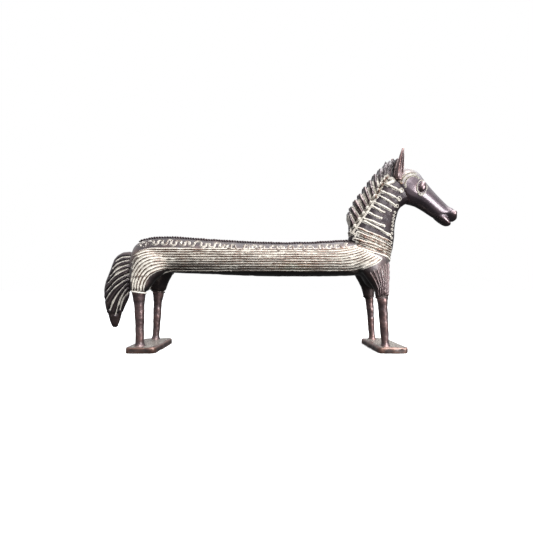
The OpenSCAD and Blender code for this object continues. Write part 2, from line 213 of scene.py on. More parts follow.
# %% Pick, edit and modify
def only(piece):
    nothing_selected()
    piece.select_set(True)
    bpy.context.view_layer.objects.active = piece


def edit(piece):
    only(piece)
    bpy.ops.object.mode_set(mode="EDIT")
    bpy.ops.mesh.select_all(action="SELECT")


def object_mode():
    bpy.ops.object.mode_set(mode="OBJECT")


def modify(piece, kind, **settings):
    """Adds a modifier and applies it."""
    only(piece)
    modifier = piece.modifiers.new(kind.lower(), kind)
    for key, value in settings.items():
        setattr(modifier, key, value)
    bpy.ops.object.modifier_apply(modifier=modifier.name)
    return piece


print("packed parts to work from:", len(packed))

# %% [markdown]
# ## Skins
# A wax skin has no seam: the maker presses the thigh, the barrel and the breast together with a
# warm tool until they flow into each other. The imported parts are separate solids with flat
# facets, and they have to stay as they are, so only copies are worked. A copy's loose triangles
# are merged first. The barrel is hollow for its clay core, and its skin needs the outer shell only.

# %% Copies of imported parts
def copy_of(node):
    piece = bpy.data.objects.new("copy_of_" + node, packed[node].data.copy())
    bpy.context.scene.collection.objects.link(piece)
    piece.data.materials.clear()
    edit(piece)
    bpy.ops.mesh.remove_doubles(threshold=0.002 * mm)
    object_mode()
    return piece


def join(pieces, name):
    only(pieces[0])
    for piece in pieces:
        piece.select_set(True)
    if len(pieces) > 1:
        bpy.ops.object.join()
    pieces[0].name = name
    pieces[0].data.name = name
    return pieces[0]


def outer_shell(piece):
    """Keeps the outermost of a hollow solid's shells."""
    edit(piece)
    bpy.ops.mesh.select_all(action="DESELECT")
    object_mode()
    heights = [v.co.z for v in piece.data.vertices]
    piece.data.vertices[heights.index(max(heights))].select = True
    bpy.ops.object.mode_set(mode="EDIT")
    bpy.ops.mesh.select_linked()
    bpy.ops.mesh.select_all(action="INVERT")
    bpy.ops.mesh.delete(type="VERT")
    object_mode()
    return piece


barrel = outer_shell(copy_of("barrel"))
print("barrel's outer shell:", len(barrel.data.vertices), "points")

# %% [markdown]
# Pushing a skin about with a brush takes a hand. In a script the points are taken out as an array,
# moved by a formula and put back. A soft step and a blob are the two brushes: one fades from 0 to
# 1 across a border, the other fades from 1 at a centre to 0 around it.

# %% Points as arrays
def points_of(piece, kind="co"):
    """All the points of a mesh, or their normals, as an array."""
    values = np.empty(len(piece.data.vertices) * 3, np.float32)
    piece.data.vertices.foreach_get(kind, values)
    return values.reshape(-1, 3).astype(float)


def put_points(piece, co):
    piece.data.vertices.foreach_set("co", co.astype(np.float32).ravel())
    piece.data.update()


def soft_step(low, high, values):
    """0 below low, 1 above high, and smooth between."""
    t = np.clip((np.asarray(values, float) - low) / (high - low), 0, 1)
    return t * t * (3 - 2 * t)


def blob(co, centre, reach):
    """1 at the centre, fading to 0 by about twice the reach along each axis."""
    return np.exp(-np.sum(((co - np.array(centre)) / np.array(reach)) ** 2, axis=1))


print("barrel's top stands", round(points_of(barrel)[:, 2].max() / mm, 1), "mm high")

# %% [markdown]
# The copies could be cut and welded edge by edge. A voxel remesh is closer to warm wax: it fills
# the joined lot with tiny cubes and wraps them in one surface, and smoothing then lets the joints
# flow. Cloud noise adds the hollows and rises that fingers leave.

# %% Body and neck skins
def melt(piece, voxel, rounds, swell):
    modify(piece, "REMESH", mode="VOXEL", voxel_size=voxel)
    modify(piece, "SMOOTH", factor=0.5, iterations=rounds)
    if swell:
        modify(piece, "DISPLACE", strength=swell, mid_level=0)
    return piece


def uneven(piece, size, amount):
    """Hand-worked unevenness: hollows and rises of a given size, amount deep."""
    clouds = bpy.data.textures.new(piece.name + "_dents", "CLOUDS")
    clouds.noise_scale = size
    clouds.noise_depth = 1
    modify(piece, "DISPLACE", texture=clouds, texture_coords="LOCAL", strength=amount, mid_level=0.5)
    return piece


body_nodes = ["haunch_right", "haunch_left", "shoulder_right", "shoulder_left", "chest"]
body = join([barrel] + [copy_of(node) for node in body_nodes], "body_skin")
melt(body, voxel=0.62 * mm, rounds=100, swell=0.5 * mm)
uneven(body, size=7 * mm, amount=0.5 * mm)
neck = join([copy_of("neck")], "neck_skin")
melt(neck, voxel=0.5 * mm, rounds=14, swell=0.1 * mm)
uneven(neck, size=5 * mm, amount=0.4 * mm)
print("body and neck skins:", len(body.data.vertices), "and", len(neck.data.vertices), "points")

# %% [markdown]
# The upper fore leg ends like a sleeve that hangs over the knee. Its hem could be a piece of its
# own, but on the wax it is the same skin pulled down, so the points near the knee are lowered and
# the lowest ones drawn in towards the leg's axis.

# %% Sleeves over the knees
sleeve_drop = 3 * mm
draw_in = 0.35
co = points_of(body)
for side, sign in SIDES.items():
    axis = middle(f"knee_ring_{side}")
    near = (co[:, 1] * sign > 0) * soft_step(fore_x - 16 * mm, fore_x - 12 * mm, co[:, 0])
    co[:, 2] -= near * sleeve_drop * (1 - soft_step(knee_z, knee_z + 6 * mm, co[:, 2]))
    drawn = near * draw_in * (1 - soft_step(knee_z - 3.5 * mm, knee_z + 0.5 * mm, co[:, 2]))
    co[:, 0] += (axis.x - co[:, 0]) * drawn
    co[:, 1] += (axis.y - co[:, 1]) * drawn
put_points(body, co)
print("sleeves hang", round(sleeve_drop / mm), "mm lower than the packed shoulders")

# %% [markdown]
# ## Legs and foot plates
# The legs are rolled wax, pressed onto a flat plate with a thumb, and the plates are slabs whose
# edges have been handled until they are round. Both could be lathed or bevelled clean, but they
# would look machined, so they are melted like the skins, with one coarse and one fine layer of
# dents. A plate's underside is kept flat on the floor.

# %% Legs and plates
legs = {}
for part, cast_name in [("hind_leg", "hind_shank"), ("fore_leg", "fore_shank")]:
    for side in SIDES:
        leg = join([copy_of(f"{part}_{side}")], f"{cast_name}_{side}")
        melt(leg, voxel=0.4 * mm, rounds=8, swell=0.12 * mm)
        uneven(leg, size=7 * mm, amount=0.7 * mm)
        legs[f"{part}_{side}"] = uneven(leg, size=2.2 * mm, amount=0.22 * mm)

plates = {}
for end in ["hind", "fore"]:
    plate = join([copy_of(f"{end}_plate")], f"{end}_foot_plate")
    melt(plate, voxel=0.5 * mm, rounds=9, swell=0.5 * mm)
    uneven(plate, size=8 * mm, amount=0.9 * mm)
    plates[end] = uneven(plate, size=2 * mm, amount=0.25 * mm)
    co = points_of(plate)
    co[:, 2] = np.maximum(co[:, 2], 0)
    put_points(plate, co)
print("legs and plates:", [len(p.data.vertices) for p in [*legs.values(), *plates.values()]])

# %% [markdown]
# ## Threads
# A wax thread is rolled on a board and laid down while it is soft. A groove and a ridge could be
# carved into the skin, but real threads stand on it and cast small shadows. So each route is
# drawn in the side view, dropped on the skin, and lifted by part of the thread's radius. To find
# the skin quickly, its faces are sorted into a search tree.

# %% Skins to lay threads on
def tree_of(*pieces):
    points = []
    faces = []
    for piece in pieces:
        start = len(points)
        points += [v.co.copy() for v in piece.data.vertices]
        faces += [[start + i for i in p.vertices] for p in piece.data.polygons]
    return BVHTree.FromPolygons(points, faces)


body_tree = tree_of(body)
neck_tree = tree_of(body, neck)
print("body skin to lay on:", len(body.data.polygons), "faces")

# %% [markdown]
# A thread in Blender is a curve with a round bevel, made a mesh. Each point gets its own radius,
# so the thread swells, thins and ends in a soft point as a hand-laid one does. The mesh is
# merged and its normals turned outwards. The routes are kept, to find the clay beside them later.

# %% One piece of threads
laid_lines = {}


def thread_piece(name, lines, radius, wobble, closed=False, sides=2, shape=None):
    """Makes one mesh of round threads, one along each line. shape gives a lock's own thickness
    from its root (0) to its tip (1); a plain thread only has soft ends."""
    nothing_selected()
    bpy.ops.curve.primitive_nurbs_path_add()
    piece = bpy.context.object
    piece.name = name
    curve = piece.data
    curve.splines.clear()
    for number, line in enumerate(lines):
        spline = curve.splines.new("POLY")
        spline.points.add(len(line) - 1)
        spline.use_cyclic_u = closed
        for k, p in enumerate(line):
            spline.points[k].co = (*p, 1)
            swell = 1 + wobble * noise.noise(p * 420 + Vector((number * 7.3, 0, 0)))
            end = 1 if closed else min(1, 0.5 + 0.3 * min(k, len(line) - 1 - k))
            spline.points[k].radius = swell * (shape(k / (len(line) - 1)) if shape else end)
    curve.bevel_depth = radius
    curve.bevel_resolution = sides
    curve.use_fill_caps = not closed
    bpy.ops.object.convert(target="MESH")
    piece = bpy.context.object
    piece.data.name = name
    edit(piece)
    bpy.ops.mesh.remove_doubles(threshold=0.004 * mm)
    bpy.ops.mesh.normals_make_consistent(inside=False)
    object_mode()
    laid_lines[name] = lines
    return piece


print("a plain thread is", round(2 * thread_r / mm, 1), "mm thick")

# %% [markdown]
# ### Flank threads
# Ten threads run side by side: up from the garter, round the haunch in nested quarter turns,
# level along the flank, and up again to the collar. They could be drawn one by one, but one rule
# with a level from 0 (lowest) to 1 (highest) keeps them evenly nested. The highest ones would
# start behind the horse, so what lies past the rump is dropped.

# %% Route of a flank thread
flank_count = 10


def between(a, b, t):
    return a + (b - a) * t


def flank_route(level):
    flat_z = between(belly + 3.4 * mm, belly + 19.2 * mm, level)
    garter_x = between(hind_x + 4.4 * mm, hind_x - 12.5 * mm, level)
    bend_x = between(hind_x + 22 * mm, hind_x + 11 * mm, level)
    turn_x = between(fore_x - 27 * mm, fore_x - 42 * mm, level)
    end_x = between(fore_x - 3 * mm, fore_x - 20 * mm, level)
    end_z = between(belly + 12 * mm, belly + 21.8 * mm, level)
    foot_z = garter_z + 0.6 * mm
    square = 2 / (2 + 0.8 * level)
    route = [Vector((bend_x - (bend_x - garter_x) * math.cos(a) ** square, 0,
                     foot_z + (flat_z - foot_z) * math.sin(a) ** square))
             for a in np.linspace(0, math.pi / 2 - 0.001, 40)]
    route += [Vector((between(bend_x, turn_x, k / 30), 0, flat_z)) for k in range(1, 31)]
    route += [Vector((between(turn_x, end_x, s), 0, between(flat_z, end_z, s ** 2)))
              for s in np.linspace(0.05, 1, 20)]
    return [p for p in route if p.x > rump_x]


print("lowest route:", len(flank_route(0)), "points, highest:", len(flank_route(1)))

# %% [markdown]
# A route is spaced evenly and dropped from its own side. Where a drop misses the skin, lands on
# the far side or jumps to another leg, the nearest skin to the last point is taken instead. A
# real thread runs out and the next one starts at its end, so each route is cut into lengths that
# meet end to end. Every length gets soft ends, which show as small joints in the row.

# %% Flank threads
# multiples of this share, taken without their whole part, never repeat
golden = 0.618


def evenly(line, gap):
    """The same line with its points a gap apart."""
    line = np.array([list(p) for p in line])
    run = np.concatenate([[0], np.cumsum(np.linalg.norm(np.diff(line, axis=0), axis=1))])
    count = max(4, int(run[-1] / gap) + 1)
    at = np.linspace(0, run[-1], count)
    return [Vector([np.interp(a, run, line[:, j]) for j in range(3)]) for a in at]


def drop_on(line, tree, side, lift):
    """Drops a line drawn in the side view onto a skin from that side, and lifts it off a little."""
    outside = 50 * mm
    first_depth = 12 * mm
    jump = 4 * mm
    laid = []
    for p in line:
        hit, normal, _, _ = tree.ray_cast(Vector((p.x, side * outside, p.z)), Vector((0, -side, 0)))
        jumped = hit is not None and laid and abs(hit.y - laid[-1].y) > jump
        if hit is None or hit.y * side < 0 or jumped:
            depth = laid[-1].y if laid else side * first_depth
            hit, normal, _, _ = tree.find_nearest(Vector((p.x, depth, p.z)))
        laid.append(hit + normal * lift)
    return laid


def cut_up(line, number, points):
    """Cuts a line into lengths of about this many points, each starting where the last one ends."""
    pieces = []
    start = 0
    while start < len(line) - 8:
        stop = start + int(points * (0.75 + 0.5 * ((number * golden) % 1)))
        if len(line) - stop < 12:
            stop = len(line)
        pieces.append(line[start:stop])
        start = stop - 1
        number += 1
    return pieces


flanks = {}
for side, sign in SIDES.items():
    lengths = []
    first = 5 if sign > 0 else 0
    for k in range(flank_count):
        line = evenly(flank_route(k / (flank_count - 1)), 0.8 * mm)
        for p in line:
            p.z += 0.28 * mm * noise.noise(Vector((p.x * 90, k * 3.1, sign)))
        laid = drop_on(line, body_tree, sign, lift=0.22 * mm)
        lengths += cut_up(laid, first + k, points=120)
    flanks[side] = thread_piece(f"flank_cords_{side}", lengths, thread_r, wobble=0.3)
print("flank threads:", len(flanks["right"].data.polygons), "faces a side")

# %% [markdown]
# ### Scroll
# Beside the spine one thread is laid in waves. A plain sine would look printed on, so slow noise
# changes each wave's length, height and lean, as a hand does that pushes a soft thread about.

# %% Scroll
def back_top(x):
    hit, _, _, _ = body_tree.ray_cast(Vector((x, 0, 0.2)), Vector((0, 0, -1)))
    return hit.z


scroll_start = hind_x + 5 * mm
scroll_end = withers.x - 5 * mm
scroll_below_top = 4.9 * mm
waves = 21
steps = 14
scrolls = {}
for side, sign in SIDES.items():
    line = []
    for k in range(waves * steps + 1):
        turn = 2 * math.pi * (k / steps + 0.35 * noise.noise(Vector((k * 0.045, sign * 4, 9))))
        x = between(scroll_start, scroll_end, k / (waves * steps))
        lean = 0.75 * math.sin(turn * 2) + 1.3 * noise.noise(Vector((x * 130, sign * 4, 3)))
        height = 1.9 + 1.7 * noise.noise(Vector((x * 150, sign * 4, 0)))
        z = back_top(x) - scroll_below_top + height * mm * math.cos(turn)
        line.append(Vector((x + lean * mm, 0, z)))
    line = drop_on(evenly(line, 0.5 * mm), body_tree, sign, lift=0.2 * mm)
    scrolls[side] = thread_piece(f"scroll_cord_{side}", [line], 0.5 * mm, wobble=0.7)
print("scroll:", len(laid_lines["scroll_cord_right"][0]), "points in", waves, "waves")

# %% [markdown]
# ### Spine
# On the spine itself threads are twisted into ropes, a thick one on the ridge and a thin one on
# each side of it. A rope could be one tube with a twisted bump, but its outline would stay
# straight. Here two threads really wind round one line, half a turn apart.

# %% Spine ropes
def snap_to(line, tree, lift):
    """Moves each point of a line to the skin's nearest point, and lifts it off a little."""
    laid = []
    for p in line:
        hit, normal, _, _ = tree.find_nearest(p)
        laid.append(hit + normal * lift)
    return laid


def rope(line, strands, reach, pitch):
    """Lines that wind round a line, at a reach from it and once in a pitch."""
    wound = [[] for _ in range(strands)]
    run = 0.0
    for k, p in enumerate(line):
        ahead = (line[min(k + 1, len(line) - 1)] - line[max(k - 1, 0)]).normalized()
        run += (p - line[k - 1]).length if k else 0
        across = ahead.cross(Vector((0, 1, 0)))
        across = across.normalized() if across.length > 0.1 else Vector((0, 0, 1))
        other = ahead.cross(across)
        for s in range(strands):
            turn = 2 * math.pi * (run / pitch + s / strands)
            wound[s].append(p + (across * math.cos(turn) + other * math.sin(turn)) * reach)
    return wound


spine_line = [Vector((x, 0, back_top(x) - 0.3 * mm))
              for x in np.linspace(hind_x - 6 * mm, withers.x - 2 * mm, 260)]
spine_ropes = rope(spine_line, strands=2, reach=0.7 * mm, pitch=5.2 * mm)
for shift in (-3.1 * mm, 3.1 * mm):
    beside = [Vector((p.x, shift, p.z - 0.6 * mm)) for p in spine_line]
    beside = snap_to(beside, body_tree, lift=0.15 * mm)
    spine_ropes += rope(beside, strands=2, reach=0.55 * mm, pitch=4.1 * mm)
spine = thread_piece("spine_braid", spine_ropes, 0.75 * mm, wobble=0.4, sides=1)
print("spine ropes:", len(spine.data.polygons), "faces")

# %% [markdown]
# ### Neck: guide lines
# The neck wears threads that run from the mane's foot down to the throat, close together at the
# base and wider apart above. Each could have its own marks, but then none would line up. So
# smooth guide lines are drawn in the side view, from marks in mm beside the withers: the mane's
# foot, the throat's chain, and the upper and lower ends of the threads between them.

# %% Guide lines of the neck
def smooth_line(marks, count):
    """A Catmull-Rom line of count points through the marks."""
    marks = [Vector(m) for m in marks]
    marks = [2 * marks[0] - marks[1], *marks, 2 * marks[-1] - marks[-2]]
    line = []
    for k in range(count):
        place = k / (count - 1) * (len(marks) - 3)
        i = min(int(place), len(marks) - 4)
        t = place - i
        a, b, c, d = marks[i:i + 4]
        line.append(0.5 * (2 * b + (c - a) * t + (2 * a - 5 * b + 4 * c - d) * t * t
                           + (3 * b - a - 3 * c + d) * t ** 3))
    return line


def beside_withers(points):
    return [Vector((withers.x + x * mm, 0, withers.z + z * mm)) for x, z in points]


# points of the wraps' guide lines from one mark to the next
per_mark = 20
rope_line = smooth_line(beside_withers([(-2, -2), (8.6, 13), (17, 25.6), (24, 39), (30, 46)]), 120)
chain_line = smooth_line(beside_withers([(29, -14), (30, 0), (31.4, 11), (34.5, 21), (37, 31.6)]), 80)
wrap_heads = smooth_line(beside_withers([(0.9, -11.1), (3.5, -1.4), (7.1, 7.8), (11.8, 15.2), (16.6, 23),
                                         (20.6, 30.6), (25.5, 39.4)]), 6 * per_mark + 1)
wrap_ends = smooth_line(beside_withers([(29.4, -20.4), (29.2, -12.6), (29.4, -3.4), (29.4, 5), (31.4, 13),
                                        (34.4, 22), (36.6, 31.8)]), 6 * per_mark + 1)
print("mane's foot runs", round((rope_line[-1] - rope_line[0]).length / mm), "mm up the neck")

# %% [markdown]
# ### Neck: threads and throat loops
# Thick threads are wrapped close at the base, and single thin bars lie above them, some of which
# stop half-way. They sag a little, because soft wax does. At their lower ends lie three loops and
# a chain of small rings. Rings could be primitives pressed flat, but as closed threads dropped
# on the skin they follow it and keep the same hand-laid look.

# %% Neck threads and loops
# place up the guide lines in marks, and share of the way to the throat
laid_wraps = [(0, 1), (0.3, 1), (0.55, 1), (0.8, 1), (1.08, 1), (1.4, 0.98)]
laid_bars = [(1.98, 0.95), (2.45, 0.7), (3.0, 0.5), (3.6, 0.55),
             (4.15, 0.8), (4.7, 0.95), (5.3, 1), (5.95, 1)]
wrap_count = len(laid_wraps)
# place up the chain line in points, and radius in mm
laid_rings = [(79, 1.6), (67, 1.55), (57, 1.2)] + [(47 - 5 * k, 0.8) for k in range(9)]


def neck_lines(sign):
    lines = []
    for k, (place, share) in enumerate(laid_wraps + laid_bars):
        upper = wrap_heads[int(place * per_mark)] + Vector((1.6 * mm * math.sin(k * 2.4), 0, 0))
        lower = wrap_ends[int(place * per_mark)]
        line = [between(upper, lower, s) for s in np.linspace(0, share * 1.02, 40)]
        for j, p in enumerate(line):
            waver = noise.noise(Vector((p.x * 130, k * 2.7, sign)))
            p.z += 0.7 * (waver - math.sin(math.pi * j / 39)) * mm
        lines.append(drop_on(line, neck_tree, sign, lift=0.2 * mm))
    return lines


def ring_lines(sign):
    lines = []
    for place, radius in laid_rings:
        ring = [chain_line[place] + Vector((math.cos(a), 0, math.sin(a))) * radius * mm
                for a in np.linspace(0, 2 * math.pi, 18, endpoint=False)]
        lines.append(drop_on(ring, neck_tree, sign, lift=0.3 * mm))
    return lines


def bar_shape(s):
    """A bar's thickness along its length: slim at the mane, full before the throat."""
    return 0.7 + 0.5 * math.sin(math.pi * min(1, 1.2 * s))


wraps = {}
bars = {}
chains = {}
for side, sign in SIDES.items():
    lines = neck_lines(sign)
    wraps[side] = thread_piece(f"wrap_cords_{side}", lines[:wrap_count], 0.72 * mm, wobble=0.5)
    bars[side] = thread_piece(f"bar_cords_{side}", lines[wrap_count:], 0.62 * mm, wobble=0.9, shape=bar_shape)
    chains[side] = thread_piece(f"loop_cords_{side}", ring_lines(sign), 0.33 * mm, wobble=0.25,
                                closed=True, sides=1)
print("neck threads a side:", wrap_count, "wraps,", len(laid_bars), "bars,", len(laid_rings), "rings")

# %% [markdown]
# ### Collar
# One thread closes the neck off from the breast. It goes round a slanting oval that no plain
# circle fits, so rays are cast at the neck from outside, in the plane of the collar, and the
# thread lies where they land. It stays open behind, under the mane.

# %% Collar
collar_rear, collar_front = beside_withers([(2, -13), (28.5, -22)])
collar_middle = (collar_rear + collar_front) / 2
forward = (collar_front - collar_rear).normalized()
half_turn = math.radians(133)
collar_line = []
for a in np.linspace(-half_turn, half_turn, 110):
    out = forward * math.cos(a) + Vector((0, math.sin(a), 0))
    hit, normal, _, _ = neck_tree.ray_cast(collar_middle + out * 60 * mm, -out)
    collar_line.append(hit + normal * 0.3 * mm)
collar = thread_piece("collar_cord", [collar_line], 0.5 * mm, wobble=0.4)
print("collar:", len(collar.data.polygons), "faces")

# %% [markdown]
# ### Garters, knee rings and fluted breeches
# A ring of thread ends each thigh above the shank, and another lies at each knee. A torus would
# float or cut in, so a tilted circle is drawn towards the leg it hugs. The upper fore leg is
# scored from the breast to the knee, like gathered breeches, with eight threads that are sunk to
# their middles in the skin.

# %% Rings and flutes
garters = {}
knees = {}
flutes = {}
flute_count = 8
leg_tree = tree_of(body, *legs.values())
for side, sign in SIDES.items():
    for part, band, made, drop, radius, hug in [("garter", "garter_band", garters, 0.9, 0.55, 0.6),
                                                ("knee_ring", "knee_band", knees, 0.3, 0.4, 1)]:
        low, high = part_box(f"{part}_{side}")
        centre = (low + high) / 2
        reach = (high.x - low.x) / 2 - thread_r
        ring = [centre + Vector((reach * math.cos(a), reach * math.sin(a), -drop * mm * math.cos(a)))
                for a in np.linspace(0, 2 * math.pi, 60, endpoint=False)]
        ring = [p.lerp(q, hug) for p, q in zip(ring, snap_to(ring, leg_tree, lift=0.1 * mm))]
        made[side] = thread_piece(f"{band}_{side}", [ring], radius * mm, wobble=0.15, closed=True)
    low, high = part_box(f"knee_ring_{side}")
    lines = []
    for k in range(flute_count):
        share = (k + 0.5) / flute_count
        upper = Vector((between(fore_x - 13 * mm, fore_x + 6.5 * mm, share), 0,
                        belly + between(1, 11, share) * mm))
        lower = Vector((between(low.x + 0.8 * mm, high.x - 0.8 * mm, share), 0, knee_z + 1.5 * mm))
        mid = upper.lerp(lower, 0.55) + Vector((between(1.6, -0.6, share) * mm, 0, 0))
        lines.append(drop_on(smooth_line([upper, mid, lower], 34), leg_tree, sign, lift=0.02 * mm))
    flutes[side] = thread_piece(f"breeches_flutes_{side}", lines, 0.62 * mm, wobble=0.5)
print("rings:", len(garters) + len(knees), "flutes a side:", flute_count)

# %% [markdown]
# ## Mane
# The mane is a flat crest of wax, and the maker cuts the locks into it with a blunt knife: each
# cut sinks a groove and pushes the wax up on both sides, so the rim turns scalloped. The crest
# could be cut with booleans, but their edges come out sharp. So two sets of lines are drawn from
# the mane's foot to its edge: cuts, and rolled locks between them for both sides.

# %% Lines of the mane
lock_count = 11
mane_edge = smooth_line(beside_withers([(-3.4, 14.6), (-0.6, 22), (5, 30.5), (11.4, 39), (18.2, 47),
                                        (25, 53.4), (31, 58.4), (36, 60.6)]), 120)
topknot = beside_withers([(33.4, 42), (35.4, 51), (37, 58.6)])
mane_cuts = []
lock_lines = []
for k in range(2 * lock_count + 1):
    share = k / (2 * lock_count)
    foot, tip = rope_line[int(6 + share * 112)], mane_edge[int(share * 119)]
    bow = foot.lerp(tip, 0.5) + Vector((-1.0, 0, 0.4)) * mm
    if k % 2 == 0:
        mane_cuts.append(evenly(smooth_line([foot, bow, foot.lerp(tip, 1.2)], 40), 0.3 * mm))
        continue
    marks = [foot, bow, foot.lerp(tip, 0.9)]
    widths = [4.4 - share, 3.2 - 0.6 * share, 1.5]
    for sign in SIDES.values():
        spread = [mark + Vector((0, sign * width * mm, 0)) for mark, width in zip(marks, widths)]
        lock_lines.append(smooth_line(spread, 26))
for across in (-1.6, 0, 1.6):
    lock_lines.append(smooth_line([p + Vector((0, across * mm, 0)) for p in topknot], 26))
print("mane:", len(mane_cuts), "cuts and", len(lock_lines), "rolled locks")

# %% [markdown]
# The locks are melted into the crest. The cuts could be dragged in with a crease brush, but a
# formula draws every cut alike on both sides: each point of the fine skin moves in or out by its
# distance to the nearest cut, in at a cut, and out a little between two.

# %% Mane skin
def lock_shape(s):
    """A lock's thickness along its length: slim at the root, full in the middle, blunt at the tip."""
    return between(0.55, 1, min(1, s / 0.45)) * (1 - 0.38 * max(0, (s - 0.45) / 0.55) ** 2)


def carve(piece, grooves, depth, plump, reach):
    """Cuts grooves into a skin, and plumps up what lies between them. Distances are measured in
    the side view, so the cut goes the same way on both sides."""
    tree = kdtree.KDTree(sum(len(groove) for groove in grooves))
    for k, p in enumerate(p for groove in grooves for p in groove):
        tree.insert((p.x, 0, p.z), k)
    tree.balance()
    co = points_of(piece)
    far = np.array([tree.find((x, 0, z))[2] for x, _, z in co])
    rise = plump * np.clip(far / reach, 0, 1) ** 0.7 - depth * np.exp(-(far / (0.35 * reach)) ** 2)
    put_points(piece, co + points_of(piece, "normal") * rise[:, None])
    return far


rolls = thread_piece("mane_rolls", lock_lines, 2.15 * mm, wobble=0.2, shape=lock_shape)
mane = melt(join([copy_of("mane_crest"), rolls], "mane_skin"), voxel=0.36 * mm, rounds=5, swell=0)
mane_far = carve(mane, mane_cuts, depth=0.8 * mm, plump=0.1 * mm, reach=2.4 * mm)
uneven(mane, size=2.4 * mm, amount=0.3 * mm)
print("mane skin:", len(mane.data.vertices), "points")

# %% [markdown]
# Along the mane's foot runs a little ladder, two threads with slanting rungs, and above it a rope
# of three threads. Both hide the joint between neck and mane. They could be stamped as a bump,
# but they are laid as threads, because their shadows tell them from the bars below.

# %% Ladder and rope along the mane's foot
crest_tree = tree_of(neck, mane)
ropes = {}
for side, sign in SIDES.items():
    rails = []
    for shift in (-0.95, 0.95):
        rails.append([p + Vector((0.8 * shift, 0, -0.6 * shift)) * mm for p in rope_line[:66]])
    rungs = [[a, a.lerp(b, 0.5), b] for a, b in zip(rails[0][2::3], rails[1][3::3])]
    ladder = [drop_on(line, crest_tree, sign, lift=0.35 * mm) for line in rails + rungs]
    core_line = drop_on(rope_line[60:112], crest_tree, sign, lift=0.5 * mm)
    twisted = rope(core_line, strands=3, reach=0.9 * mm, pitch=4.6 * mm)
    ropes[side] = thread_piece(f"rope_cord_{side}", ladder + twisted, 0.5 * mm, wobble=0.35)
print("mane rope:", len(ropes["right"].data.polygons), "faces a side")

# %% [markdown]
# ## Tail
# The tail is a thick leaf of wax, cut like the mane with slanting strokes, deep ones and fine ones
# in turn. It could carry laid threads, but its ridges have no undercut, so carving is closer. Two
# guide lines say where the strokes begin and end, and the outline is pressed in behind the rump.

# %% Tail
def beside_tail(points):
    return [Vector((tail_root.x + x * mm, 0, tail_root.z + z * mm)) for x, z in points]


stroke_count = 17
tail_feet = smooth_line(beside_tail([(0, 1), (-0.2, -3.1), (-1.7, -7.8), (-1.4, -12.7), (-2.4, -18),
                                     (-2.8, -22.5), (-1.7, -27)]), 61)
tail_tips = smooth_line(beside_tail([(-12, -2.4), (-16.5, -10.5), (-19, -18.4), (-21, -27.6), (-19.6, -35.6),
                                     (-13.6, -45.7), (-9.3, -42.4)]), 61)
strokes = []
for k in range(stroke_count):
    place = int(k * 60 / (stroke_count - 1))
    foot = tail_feet[place]
    tip = foot.lerp(tail_tips[place], 1.06 - 0.16 * ((k * golden) % 1))
    bow = foot.lerp(tip, 0.5) + Vector((-0.7, 0, 1.1)) * mm
    strokes.append(evenly(smooth_line([foot, bow, tip], 40), 0.3 * mm))
tail = melt(join([copy_of("tail"), copy_of("tail_tip")], "tail_skin"), voxel=0.38 * mm, rounds=6, swell=0)
tail_far = carve(tail, strokes[0::2], depth=1.0 * mm, plump=0.15 * mm, reach=2.2 * mm)
carve(tail, strokes[1::2], depth=0.35 * mm, plump=0, reach=1.2 * mm)
uneven(tail, size=3 * mm, amount=0.3 * mm)
co = points_of(tail)
co[:, 0] += 1.3 * mm * blob(co, tail_root + Vector((-18, 0, -9)) * mm, (7 * mm, 30 * mm, 9 * mm))
put_points(tail, co)
print("tail:", len(tail.data.vertices), "points,", len(strokes), "strokes")

# %% [markdown]
# ## Head
# The head is the one smooth part: polished wax with a bulbous nose and a cut mouth. Marks on it
# could be given along the world's axes, but the face slopes, so they are given in the head's own
# directions, along the face and up from it, and turned into place.

# %% The head's own directions
face_slope = math.radians(37)


def on_head(along, up, across=0.0):
    c, s = math.cos(face_slope), math.sin(face_slope)
    return skull + Vector((along * c + up * s, across, -along * s + up * c)) * mm


along_way = np.array(on_head(1, 0) - skull)
up_way = np.array(on_head(0, 1) - skull)


def in_head(piece):
    """A piece's points, and how far along the face and up from it each one lies, in mm."""
    co = points_of(piece)
    off = (co - np.array(skull)) / mm ** 2
    return co, off @ along_way, off @ up_way


print("nose ring lies", round((on_head(35.4, 3.4) - skull).length / mm, 1), "mm from the skull's mark")

# %% [markdown]
# The jaw and the face are reshaped before they are melted: the jaw is lifted towards the mouth,
# and the nose's bulb hangs over the lip. The mouth could be cut afterwards, but a gap left between
# two melted parts has the soft lips of wax. Nostrils and eye sockets are pressed with a ball tool.

# %% Head skin, nostrils and eye sockets
def press(piece, centre, reach, depth):
    """Presses a ball tool into a skin, or pulls it out where depth is negative."""
    co = points_of(piece)
    far = np.minimum(np.linalg.norm(co - np.array(centre), axis=1) / reach, 1)
    put_points(piece, co - points_of(piece, "normal") * (depth * (1 - far * far) ** 2)[:, None])


jaw = copy_of("lower_jaw")
face = copy_of("head")
co, along, up = in_head(jaw)
rise = 0.5 + 1.8 * (1 - soft_step(35.5, 39.5, along)) * soft_step(-5.5, -2.5, up)
put_points(jaw, co + up_way * rise[:, None])
co, along, up = in_head(face)
drop = 1.3 * soft_step(34, 36, along) * (1 - soft_step(-0.5, 2.5, up))
put_points(face, co - up_way * drop[:, None])
head = join([face, jaw, copy_of("nostrils")], "head_skin")
melt(head, voxel=0.42 * mm, rounds=14, swell=0.15 * mm)
for sign in SIDES.values():
    press(head, on_head(41.4, 5.4, sign * 4.6), reach=1.5 * mm, depth=1.4 * mm)
    press(head, on_head(39.4, 4, sign * 5), reach=4.4 * mm, depth=-0.7 * mm)
    press(head, on_head(5.9, 2.6, sign * 8.4), reach=4.6 * mm, depth=1.9 * mm)
head_tree = tree_of(head, neck)
print("head skin:", len(head.data.vertices), "points")

# %% [markdown]
# An eye is a ball of wax, swollen past its socket and taller than it is wide. A sphere is the
# start; it is stretched in edit mode and leant a little with the face. Two closed threads with a
# point at the bottom make the lid, and two arcs run round the temple from brow to cheek.

